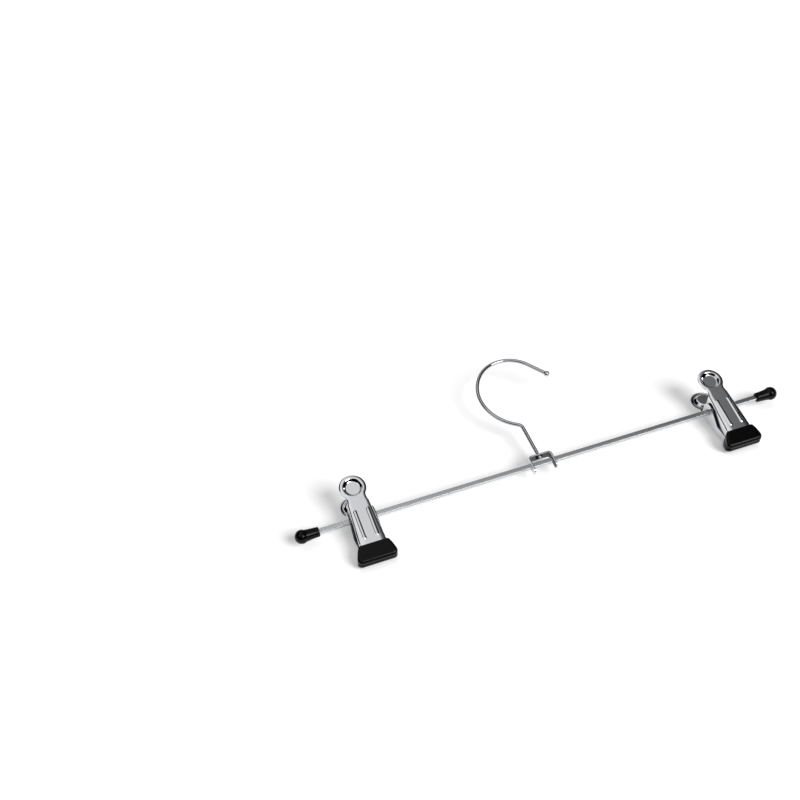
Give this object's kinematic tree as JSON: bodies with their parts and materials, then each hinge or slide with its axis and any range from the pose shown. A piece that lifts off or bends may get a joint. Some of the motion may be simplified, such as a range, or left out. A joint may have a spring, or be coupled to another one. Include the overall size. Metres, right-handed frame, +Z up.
{
  "type": "clip trouser hanger",
  "caption": "Flat metal trouser hanger with sliding spring clips, dipped grips, ball end caps and a swivel wire hook.",
  "frame": {"origin": "middle of the bounding box in plan, on the table that the hanger lies on", "axes": "+X along the cross bar to the right as seen from the clips, +Y from the clips' grips toward the hook, +Z up from the table; the hanger's own plane leans 6.8 degrees, hook side up, as it comes to rest"},
  "size_m": [0.31, 0.1124, 0.0231],
  "materials": {
    "plated_steel": "bright plated pressed steel and wire",
    "satin_steel": "drawn flat steel bar, lightly plated",
    "spring_steel": "drawn spring wire",
    "grip_vinyl": "soft black dipped vinyl, slightly glossy",
    "cap_vinyl": "soft black moulded vinyl, slightly glossy"
  },
  "bodies": {
    "bar_assembly": {"cross_bar": "satin_steel", "left_end_cap": "cap_vinyl", "right_end_cap": "cap_vinyl", "hook_bracket": "plated_steel"},
    "swivel_hook": {"hook": "plated_steel"},
    "left_clip_rear": {"left_rear_jaw": "plated_steel", "left_rear_grip": "grip_vinyl", "left_spring": "spring_steel"},
    "left_clip_front": {"left_front_jaw": "plated_steel", "left_front_grip": "grip_vinyl"},
    "right_clip_rear": {"right_rear_jaw": "plated_steel", "right_rear_grip": "grip_vinyl", "right_spring": "spring_steel"},
    "right_clip_front": {"right_front_jaw": "plated_steel", "right_front_grip": "grip_vinyl"}
  },
  "joints": [
    {"name": "hook_swivel", "type": "hinge", "parent": "bar_assembly", "child": "swivel_hook", "pos_m": [-0.0032, -0.02084, 0.00951], "axis": [0, 0.9929, 0.1188], "continuous": true},
    {"name": "left_clip_slide", "type": "slide", "parent": "bar_assembly", "child": "left_clip_rear", "axis": [1, 0, 0], "range_m": [-0.0167, 0.0962]},
    {"name": "left_jaw_open", "type": "hinge", "parent": "left_clip_rear", "child": "left_clip_front", "pos_m": [-0.1155, -0.0264, 0.00885], "axis": [-1, 0, 0], "range_deg": [0, 42], "stiffness_Nm_per_rad": 0.2, "springref_deg": -34.38, "deforming": ["left_spring"]},
    {"name": "right_clip_slide", "type": "slide", "parent": "bar_assembly", "child": "right_clip_rear", "axis": [-1, 0, 0], "range_m": [-0.0167, 0.1026]},
    {"name": "right_jaw_open", "type": "hinge", "parent": "right_clip_rear", "child": "right_clip_front", "pos_m": [0.1155, -0.0264, 0.00885], "axis": [-1, 0, 0], "range_deg": [0, 42], "stiffness_Nm_per_rad": 0.2, "springref_deg": -34.38, "deforming": ["right_spring"]}
  ]
}
